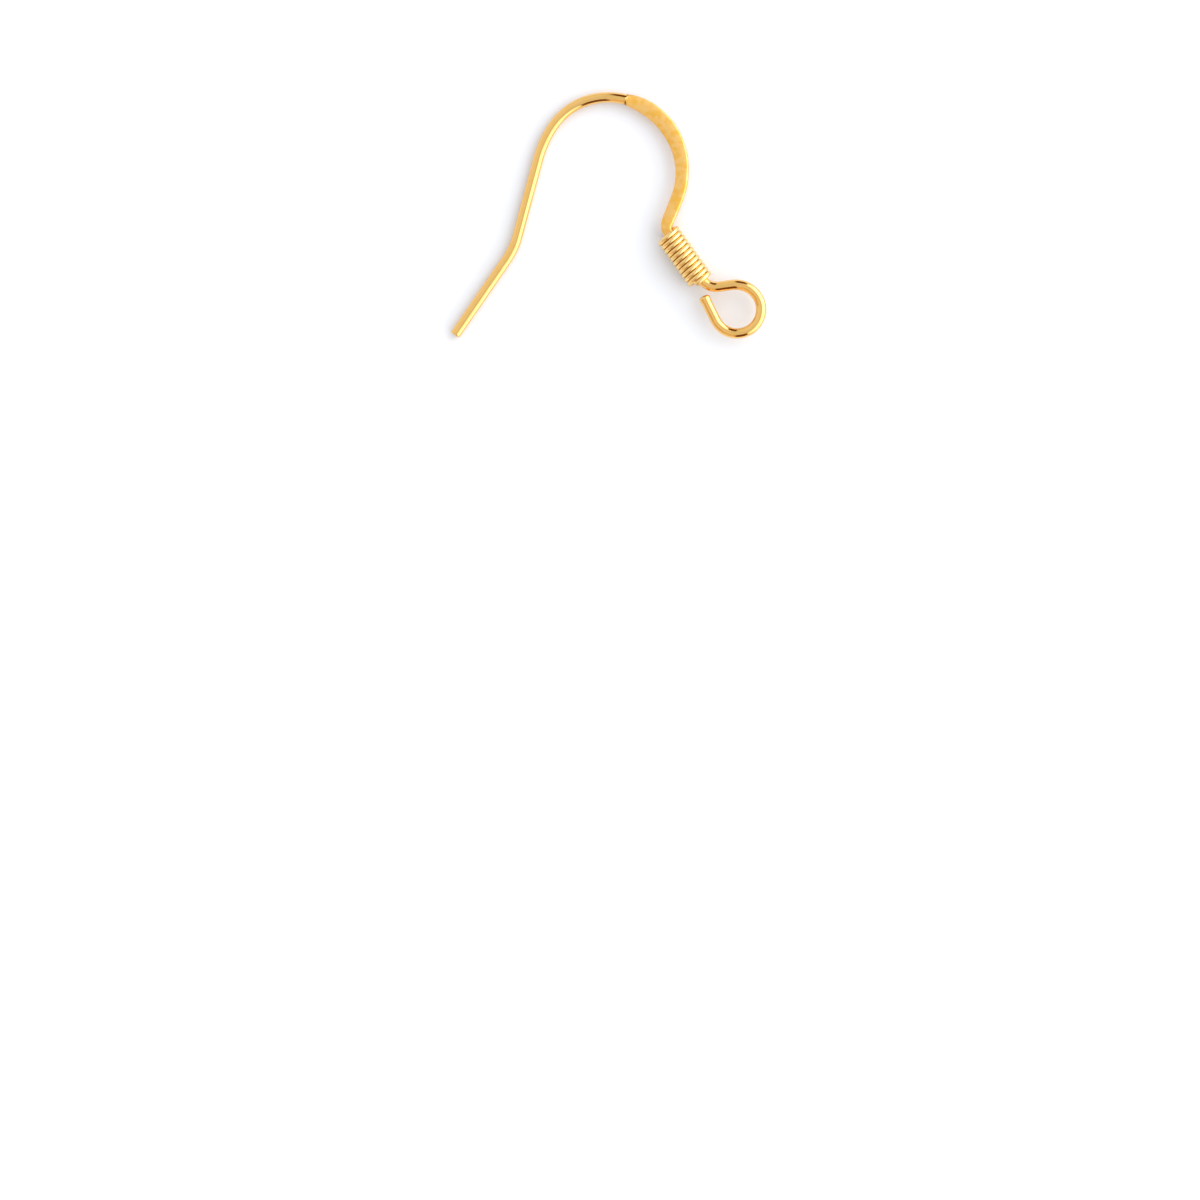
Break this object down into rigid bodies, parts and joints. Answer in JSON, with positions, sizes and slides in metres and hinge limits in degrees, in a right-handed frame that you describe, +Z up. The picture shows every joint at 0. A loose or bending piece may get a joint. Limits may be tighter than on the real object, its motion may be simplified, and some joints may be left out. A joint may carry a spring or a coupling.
{
  "type": "ear wire",
  "caption": "Fish-hook ear wire of gold-coloured round wire, its front pressed flat, with a loose wound coil and an open loop that holds a drop.",
  "frame": {"origin": "under the middle of the ear wire as it lies, on the surface it lies on", "axes": "+X from the tail's side to the loop's side, +Y to the top of the arch, +Z up from the surface"},
  "size_m": [0.0211, 0.0165, 0.0018],
  "materials": {
    "hook_wire": "gold-coloured plating on brass, polished where round, satin where it is pressed flat",
    "coil_wire": "gold-coloured plating on brass, polished"
  },
  "bodies": {
    "hook": {"ear_hook": "hook_wire"},
    "wound_coil": {"coil": "coil_wire"}
  },
  "joints": [
    {"name": "coil_spin", "type": "hinge", "parent": "hook", "child": "wound_coil", "pos_m": [0.00511, -0.00279, 0.00089], "axis": [0.5807, -0.8141, 0], "continuous": true}
  ]
}
